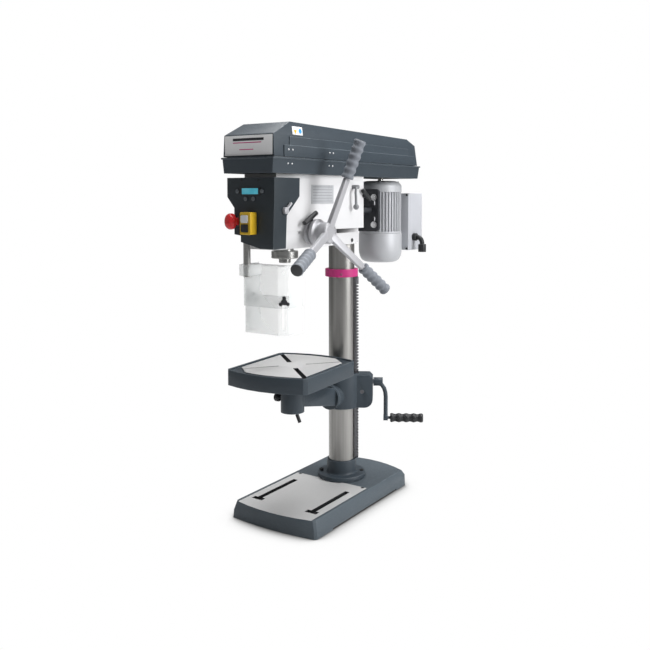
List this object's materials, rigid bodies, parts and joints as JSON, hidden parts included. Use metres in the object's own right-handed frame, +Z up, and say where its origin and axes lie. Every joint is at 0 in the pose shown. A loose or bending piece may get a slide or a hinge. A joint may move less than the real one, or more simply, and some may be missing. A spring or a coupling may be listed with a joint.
{
  "type": "bench drill press",
  "caption": "Bench drill press: cast base, round column, crank-raised tilting table, belt-driven head with three-handle quill feed, clear chuck guard and rear motor.",
  "frame": {"origin": "on the column axis at the level of the floor, under the base", "axes": "+Z up the column; the operator stands at -Y and the feed handles are on the +X side"},
  "size_m": [0.3822, 0.9259, 1.121],
  "materials": {
    "cast_iron_paint": "cast texture, blue-grey enamel",
    "anthracite": "fine-textured anthracite enamel",
    "white_enamel": "smooth off-white enamel",
    "ground_steel": "ground",
    "dark_steel": "oiled",
    "cast_aluminium": "painted silver",
    "grip": "ribbed",
    "grey_plastic": "matt",
    "black_plastic": "matt",
    "black_paint": "satin",
    "magenta": "smooth enamel",
    "motor_aluminium": "satin paint",
    "box_enamel": "smooth light grey enamel",
    "clear_sheet": "clear",
    "yellow_plastic": "gloss",
    "red_plastic": "gloss",
    "blue_display": "lit display window",
    "white_plastic": "matt",
    "belt_rubber": "ribbed"
  },
  "bodies": {
    "stand": {"base": "cast_iron_paint", "column_flange": "anthracite", "column": "ground_steel", "rack_collar": "magenta", "head_casting": "white_enamel", "pulley_bearing": "ground_steel", "spring_cap": "anthracite", "belt_tray": "anthracite", "drive_belt": "belt_rubber", "control_hood": "anthracite", "display_window": "blue_display", "switch_plate": "yellow_plastic", "guard_rod": "ground_steel"},
    "rack": {"rack": "dark_steel"},
    "bracket": {"table_bracket": "anthracite", "tilt_bolt": "dark_steel"},
    "lift_pinion": {"lift_pinion": "dark_steel"},
    "crank": {"crank_shaft": "dark_steel", "crank_arm": "anthracite"},
    "crank_grip": {"crank_grip": "black_plastic"},
    "bracket_clamp": {"bracket_clamp_lever": "black_plastic"},
    "table_arm": {"table_arm": "anthracite", "table_tilt_pin": "black_paint"},
    "table": {"table": "anthracite"},
    "table_lock": {"table_lock_knob": "black_plastic"},
    "quill": {"quill": "ground_steel", "quill_collar": "ground_steel", "spindle_bearing": "ground_steel"},
    "spindle": {"spindle": "ground_steel"},
    "feed": {"feed_shaft": "dark_steel", "feed_hub": "cast_aluminium"},
    "feed_grip_1": {"feed_grip_1": "grip"},
    "feed_grip_2": {"feed_grip_2": "grip"},
    "feed_grip_3": {"feed_grip_3": "grip"},
    "depth_ring": {"depth_ring": "cast_aluminium", "depth_clamp": "black_plastic"},
    "spindle_pulley": {"spindle_pulley": "motor_aluminium"},
    "motor": {"motor_body": "motor_aluminium", "motor_cowl": "motor_aluminium", "motor_carrier": "black_paint", "control_box": "box_enamel", "control_box_base": "grey_plastic", "box_gland": "black_plastic"},
    "rotor": {"motor_shaft": "ground_steel", "motor_pulley": "motor_aluminium"},
    "cover": {"belt_cover": "anthracite"},
    "tension_lever": {"tension_lever": "cast_aluminium"},
    "carrier_lock": {"carrier_lock_lever": "black_plastic"},
    "panel_button_1": {"panel_button_1": "grey_plastic"},
    "panel_button_2": {"panel_button_2": "grey_plastic"},
    "panel_button_3": {"panel_button_3": "grey_plastic"},
    "panel_button_4": {"panel_button_4": "grey_plastic"},
    "start_button": {"start_button": "white_plastic"},
    "stop_button": {"stop_button": "black_plastic"},
    "emergency_stop": {"emergency_stop": "red_plastic"},
    "hood_lever": {"hood_lever": "black_plastic"},
    "guard": {"guard_upper": "clear_sheet"},
    "guard_lower": {"guard_lower": "clear_sheet"},
    "guard_knob_front": {"guard_knob_front": "black_plastic"},
    "guard_knob_side": {"guard_knob_side": "black_plastic"}
  },
  "joints": [
    {"name": "table_swing", "type": "hinge", "parent": "stand", "child": "rack", "pos_m": [0, 0, 0.4], "axis": [0, 0, 1], "range_deg": [-60, 60]},
    {"name": "table_lift", "type": "slide", "parent": "rack", "child": "bracket", "axis": [0, 0, 1], "range_m": [-0.15, 0.09]},
    {"name": "lift_pinion_turn", "type": "hinge", "parent": "bracket", "child": "lift_pinion", "pos_m": [0.05629, 0.0325, 0.32], "axis": [-0.5, 0.866, 0], "range_deg": [-360, 580]},
    {"name": "crank_turn", "type": "hinge", "parent": "bracket", "child": "crank", "pos_m": [0.10759, 0.04364, 0.35], "axis": [0.866, 0.5, 0], "range_deg": [-4400, 2700]},
    {"name": "crank_grip_spin", "type": "hinge", "parent": "crank", "child": "crank_grip", "pos_m": [0.18121, 0.08614, 0.237], "axis": [0.866, 0.5, 0], "continuous": true},
    {"name": "bracket_clamp_turn", "type": "hinge", "parent": "bracket", "child": "bracket_clamp", "pos_m": [-0.07, 0.008, 0.32], "axis": [1, 0, 0], "range_deg": [-35, 35]},
    {"name": "arm_tilt", "type": "hinge", "parent": "bracket", "child": "table_arm", "pos_m": [0, -0.066, 0.309], "axis": [0, 1, 0], "range_deg": [-45, 45]},
    {"name": "table_turn", "type": "hinge", "parent": "table_arm", "child": "table", "pos_m": [0, -0.258, 0.4], "axis": [0, 0, 1], "continuous": true},
    {"name": "table_lock_turn", "type": "hinge", "parent": "table_arm", "child": "table_lock", "pos_m": [-0.05, -0.266, 0.345], "axis": [1, 0, 0], "continuous": true},
    {"name": "feed_turn", "type": "hinge", "parent": "stand", "child": "feed", "pos_m": [0.1, -0.259, 0.823], "axis": [1, 0, 0], "range_deg": [0, 487], "stiffness_Nm_per_rad": 0.2, "springref_deg": -343.77},
    {"name": "quill_slide", "type": "slide", "parent": "stand", "child": "quill", "axis": [0, 0, -1], "range_m": [0, 0.0851]},
    {"name": "spindle_spin", "type": "hinge", "parent": "quill", "child": "spindle", "pos_m": [0, -0.292, 0.8], "axis": [0, 0, 1], "continuous": true},
    {"name": "feed_grip_1_spin", "type": "hinge", "parent": "feed", "child": "feed_grip_1", "pos_m": [0.17721, -0.22031, 1.01147], "axis": [0.273, 0.1934, 0.9424], "continuous": true},
    {"name": "feed_grip_2_spin", "type": "hinge", "parent": "feed", "child": "feed_grip_2", "pos_m": [0.17721, -0.44156, 0.76227], "axis": [0.273, -0.9128, -0.3037], "continuous": true},
    {"name": "feed_grip_3_spin", "type": "hinge", "parent": "feed", "child": "feed_grip_3", "pos_m": [0.17721, -0.11512, 0.69526], "axis": [0.273, 0.7194, -0.6387], "continuous": true},
    {"name": "depth_ring_turn", "type": "hinge", "parent": "stand", "child": "depth_ring", "pos_m": [0.07, -0.259, 0.823], "axis": [1, 0, 0], "range_deg": [-30, 150]},
    {"name": "motor_spin", "type": "hinge", "parent": "motor", "child": "rotor", "pos_m": [0, 0.238, 1.04], "axis": [0, 0, 1], "continuous": true},
    {"name": "spindle_pulley_spin", "type": "hinge", "parent": "stand", "child": "spindle_pulley", "pos_m": [0, -0.292, 1.04], "axis": [0, 0, 1], "continuous": true},
    {"name": "motor_slide", "type": "slide", "parent": "stand", "child": "motor", "axis": [0, 1, 0], "range_m": [-0.01, 0]},
    {"name": "tension_lever_turn", "type": "hinge", "parent": "stand", "child": "tension_lever", "pos_m": [0.07, -0.053, 0.952], "axis": [1, 0, 0], "range_deg": [-61, 0]},
    {"name": "carrier_lock_turn", "type": "hinge", "parent": "stand", "child": "carrier_lock", "pos_m": [0.07, 0.002, 0.926], "axis": [1, 0, 0], "range_deg": [0, 90]},
    {"name": "cover_hinge", "type": "hinge", "parent": "stand", "child": "cover", "pos_m": [0.088, -0.05, 1.028], "axis": [0, 1, 0], "range_deg": [0, 60]},
    {"name": "panel_button_1_press", "type": "slide", "parent": "stand", "child": "panel_button_1", "axis": [0, 1, 0], "range_m": [0, 0.001], "stiffness_N_per_m": 400, "springref_m": -0.001},
    {"name": "panel_button_2_press", "type": "slide", "parent": "stand", "child": "panel_button_2", "axis": [0, 1, 0], "range_m": [0, 0.001], "stiffness_N_per_m": 400, "springref_m": -0.001},
    {"name": "panel_button_3_press", "type": "slide", "parent": "stand", "child": "panel_button_3", "axis": [0, 1, 0], "range_m": [0, 0.001], "stiffness_N_per_m": 400, "springref_m": -0.001},
    {"name": "panel_button_4_press", "type": "slide", "parent": "stand", "child": "panel_button_4", "axis": [0, 1, 0], "range_m": [0, 0.001], "stiffness_N_per_m": 400, "springref_m": -0.001},
    {"name": "start_press", "type": "slide", "parent": "stand", "child": "start_button", "axis": [0, 1, 0], "range_m": [0, 0.0012], "stiffness_N_per_m": 400, "springref_m": -0.001},
    {"name": "stop_press", "type": "slide", "parent": "stand", "child": "stop_button", "axis": [0, 1, 0], "range_m": [0, 0.0012], "stiffness_N_per_m": 400, "springref_m": -0.001},
    {"name": "emergency_press", "type": "slide", "parent": "stand", "child": "emergency_stop", "axis": [0.5, 0.866, 0], "range_m": [0, 0.004]},
    {"name": "hood_lever_turn", "type": "hinge", "parent": "stand", "child": "hood_lever", "pos_m": [0.085, -0.398, 0.886], "axis": [1, 0, 0], "range_deg": [-45, 45]},
    {"name": "guard_swing", "type": "hinge", "parent": "stand", "child": "guard", "pos_m": [-0.028, -0.423, 0.72], "axis": [0, 0, 1], "range_deg": [0, 100]},
    {"name": "guard_lower_lift", "type": "slide", "parent": "guard", "child": "guard_lower", "axis": [0, 0, 1], "range_m": [0, 0.068]},
    {"name": "guard_knob_front_turn", "type": "hinge", "parent": "guard", "child": "guard_knob_front", "pos_m": [0.0515, -0.3665, 0.64], "axis": [0.7071, -0.7071, 0], "continuous": true},
    {"name": "guard_knob_side_turn", "type": "hinge", "parent": "guard", "child": "guard_knob_side", "pos_m": [-0.088, -0.33, 0.648], "axis": [-1, 0, 0], "continuous": true}
  ],
  "couplings": [
    {"joint": "lift_pinion_turn", "follows": "table_lift", "rad_per_m": -66.667},
    {"joint": "crank_turn", "follows": "table_lift", "rad_per_m": 502.65},
    {"joint": "quill_slide", "follows": "feed_turn", "m_per_rad": 0.01},
    {"joint": "spindle_pulley_spin", "follows": "motor_spin", "ratio": 0.6786},
    {"joint": "spindle_spin", "follows": "motor_spin", "ratio": 0.6786},
    {"joint": "tension_lever_turn", "follows": "motor_slide", "rad_per_m": 104.72}
  ]
}
